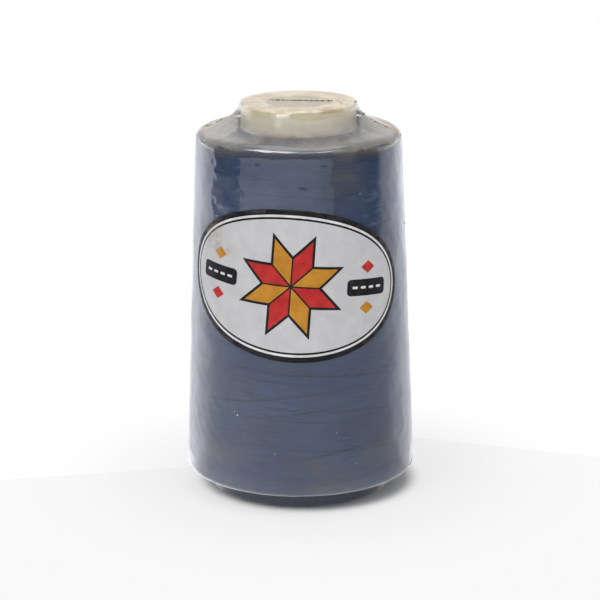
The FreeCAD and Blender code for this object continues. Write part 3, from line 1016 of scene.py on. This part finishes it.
def add_strands():
    """The last layers of thread, laid on the package in helices that cross."""
    rng = np.random.default_rng(51)
    low, high = PACKAGE_BASE + 1.6, RIM_HEIGHT - 0.6
    pitch = 2 * math.pi * WIND_RADIUS * math.tan(WIND_ANGLE)
    turns = (high - low) / pitch
    t = np.linspace(0, 1, int(turns * 76))
    for name, way, spacing in (("strands_up", 1, 1.15), ("strands_down", -1, 1.25)):
        tubes = []
        starts = int(pitch / spacing)
        for k in range(starts):
            offset = (k + rng.uniform(-0.4, 0.4)) / starts * 2 * math.pi
            azimuth = offset + way * t * turns * 2 * math.pi
            height = low + t * (high - low)
            wander = 0.28 * ripple(0, t * 100, int(rng.integers(1, 9999)), 12, 1, 12)
            height = np.clip(height + wander, low, high)
            sink = 0.05 * ripple(0, t * 100, int(rng.integers(1, 9999)), 12, 1, 5)
            radius = side_radius(height) - 0.15 + sink - 0.40 * groove_depth(azimuth, height)
            path = place(radius, azimuth, height)
            tubes.append((path, facing_out(azimuth), rng.uniform(0.11, 0.15)))
        tubes_piece(name, tubes, thread_material(name, 0.1))


def add_end_faces():
    """The loops where the thread turns back, lying in rings on the package's two ends."""
    rng = np.random.default_rng(61)
    rings = (
        ("loops_top", 1, CONE_TOP_RADIUS + 0.6, RIM_RADIUS - 1.2, NOSE_BASE, RIM_HEIGHT),
        ("loops_bottom", -1, former_radius(PACKAGE_BASE) + 0.6, BASE_RADIUS - 2.8,
         PACKAGE_BASE, PACKAGE_BASE),
    )
    for name, up, inner, outer, z_inner, z_outer in rings:
        tubes = []
        radius = inner
        while radius < outer:
            azimuth = np.linspace(0, 2 * math.pi, 120) + rng.uniform(0, 6)
            share = (radius - inner) / (outer - inner)
            wave = 0.35 * ripple(azimuth, 0, int(rng.integers(1, 9999)), 10, 5, 10)
            height = z_inner + (z_outer - z_inner) * share + up * rng.uniform(-0.10, 0.04)
            path = place(radius + wave * 0.4, azimuth, height)
            path[-1] = path[0]
            tubes.append((path, np.array([(0, 0, up)] * len(path)), 0.15))
            radius += rng.uniform(0.42, 0.7)
        tubes_piece(name, tubes, thread_material(name))


def add_tail():
    """The bunch of first turns that hides the foot, and the last turn of the thread above it."""
    low, high = FLOOR + 0.22, TAIL_HIGH - 0.15
    turns = 15
    t = np.linspace(0, 1, turns * 100)
    tubes = []
    for layer in range(2):
        azimuth = (t * turns + 0.37 * layer) * 2 * math.pi
        wander = 0.10 * ripple(0, t * 100, 72 + layer, 12, 1, 6)
        height = np.clip(low + (high - low) * t + wander, low, high)
        uneven = 0.06 * ripple(azimuth, 0, 75 + layer, 12, 6, 10)
        radius = TAIL_RADIUS - 0.62 + 0.30 * layer + uneven
        tubes.append((place(radius, azimuth, height), facing_out(azimuth), 0.19))
    tubes_piece("tail_bunch", tubes, thread_material("tail_bunch"), "transfer_tail")

    stop = math.radians(300)
    azimuth = np.linspace(0, stop, 200)
    radius = END_RADIUS - 0.3 + 1.5 * smooth_step(azimuth, stop * 0.9, stop)
    path = place(radius, azimuth, (END_LOW + END_HIGH) / 2)
    tubes = [(path, facing_out(azimuth), 0.17)]
    tubes_piece("last_turn", tubes, thread_material("last_turn"), "thread_end")


# ---- the label

LABEL_MIDDLE = side_radius(LABEL_CENTRE) + FILM


def on_label(across, up, lift):
    """Points of the label's flat artwork, bent round the film: mm to the right, up, outwards."""
    around = across * math.cos(LABEL_TILT) + up * math.sin(LABEL_TILT)
    height = LABEL_CENTRE + up * math.cos(LABEL_TILT) - across * math.sin(LABEL_TILT)
    azimuth = LABEL_TURN + around / LABEL_MIDDLE
    swell = film_swell(azimuth, along_at(height))
    return place(side_radius(height) + FILM_GAP + swell + lift, azimuth, height)


def label_piece(name, outline, lift, material, replaced=()):
    """A flat shape of the artwork, cut into narrow strips and bent onto the film."""
    work = bmesh.new()
    corners = [work.verts.new((x, y, 0)) for x, y in outline]
    work.faces.new(corners)
    bmesh.ops.triangulate(work, faces=work.faces[:])
    xs, ys = zip(*outline)
    for way, reach, gap in (((1, 0, 0), xs, 1.3), ((0, 1, 0), ys, 2.6)):
        cut = min(reach) + gap
        while cut < max(reach) - 0.05:
            whole = work.verts[:] + work.edges[:] + work.faces[:]
            bmesh.ops.bisect_plane(work, geom=whole, plane_co=Vector(way) * cut, plane_no=way)
            cut += gap
    across, up = np.array([v.co[:2] for v in work.verts]).T
    work.verts.index_update()
    faces = [tuple(v.index for v in f.verts) for f in work.faces]
    work.free()
    piece = new_object(name, on_label(across, up, lift), faces, material)
    set_values(piece, "smudge", smudge_at(across, up))
    return finish_piece(piece, "label", *replaced)


def smudge_at(across, up):
    """Brownish handling marks near the label's left end."""
    left = bell(across, -28, 4.5) * bell(up, 10, 4)
    line = bell(across, -25, 6) * bell(up, 9 - 0.25 * (across + 25), 0.8)
    return np.clip(0.75 * left + 0.6 * line, 0, 0.8)


def oval(half_width, half_height, count=144):
    turns = np.linspace(0, 2 * math.pi, count, endpoint=False)
    return [(half_width * math.cos(t), half_height * math.sin(t)) for t in turns]


def bar(middle, width, height, corner):
    """A rectangle with round corners."""
    points = []
    for k, (sx, sy) in enumerate(((1, 1), (-1, 1), (-1, -1), (1, -1))):
        hub = Vector(middle) + Vector((sx * (width / 2 - corner), sy * (height / 2 - corner)))
        for i in range(5):
            turn = math.pi / 2 * (k + i / 4)
            points.append((hub.x + corner * math.cos(turn), hub.y + corner * math.sin(turn)))
    return points


def star_rhombus(k, reach, margin):
    """One of the eight diamonds of a patchwork star, drawn in by margin on every side."""
    middle = math.pi / 4 * (k + 0.5)
    inset = margin / math.sin(math.pi / 8)
    ahead = Vector((math.cos(middle), math.sin(middle)))
    near = ahead * inset
    far = ahead * (reach - inset)
    half = reach / 2 - inset
    hub = ahead * (reach / 2)
    wing = Vector((-ahead.y, ahead.x)) * (half * math.tan(math.pi / 8))
    return [tuple(near), tuple(hub - wing), tuple(far), tuple(hub + wing)]


def add_label():
    """An oval sticker: black and white border, silver ground and a plain patchwork star."""
    black = ink_material("label_black", (0.013, 0.012, 0.014), 0.34, 0.25, 0.13)
    white = ink_material("label_white", (0.82, 0.82, 0.82))
    silver = ink_material("label_silver", (0.655, 0.655, 0.67), 0.40, 0.035)
    red = ink_material("label_red", (0.56, 0.022, 0.020))
    amber = ink_material("label_amber", (0.60, 0.26, 0.018))
    half_width, half_height = LABEL_SIZE[0] / 2, LABEL_SIZE[1] / 2
    sheet = label_piece("label_sheet", oval(half_width, half_height), 0.12, black, ("label",))
    thick = sheet.modifiers.new("thickness", "SOLIDIFY")
    thick.thickness = 0.10 * MM
    thick.offset = -1
    inset = 0.0
    for name, border, lift, ink in (("label_ring_white", 1.67, 0.14, white),
                                    ("label_ring_black", 0.74, 0.16, black),
                                    ("label_ground", 0.64, 0.18, silver)):
        inset += border
        label_piece(name, oval(half_width - inset, half_height - inset), lift, ink)
    reach = 16.2
    outline = 0.55
    for k in range(8):
        ink = red if k % 2 else amber
        label_piece("star_edge_%d" % k, star_rhombus(k, reach, -outline), 0.20, black)
        label_piece("star_patch_%d" % k, star_rhombus(k, reach, 0.25), 0.22, ink)
    for side, word in ((-1, "left"), (1, "right")):
        x = side * 25.0
        label_piece("bar_" + word, bar((x, 0.0), 14.5, 5.2, 1.3), 0.20, black)
        for i in range(4):
            stitch = bar((x + (i - 1.5) * 3.0, 0.0), 1.9, 0.8, 0.35)
            label_piece("stitch_%s_%d" % (word, i), stitch, 0.22, white)
        for up, end in ((-1, "low"), (1, "high")):
            patch = [(x + 2.6 * math.cos(t), up * 6.4 + 2.0 * math.sin(t))
                     for t in (0, math.pi / 2, math.pi, 3 * math.pi / 2)]
            ink = red if up * side > 0 else amber
            label_piece("patch_%s_%s" % (word, end), patch, 0.20, ink)


# ---- putting it together

set_camera()
set_world()
for softbox in SOFTBOXES:
    add_softbox(*softbox)
add_stage()

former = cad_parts["cone_former"]
former.data.materials.clear()
former.data.materials.append(former_material())
add_package()
add_strands()
add_end_faces()
add_tail()
add_film()
add_weld()
add_specks()
add_label()

scene = bpy.context.scene
scene.view_settings.view_transform = "Standard"
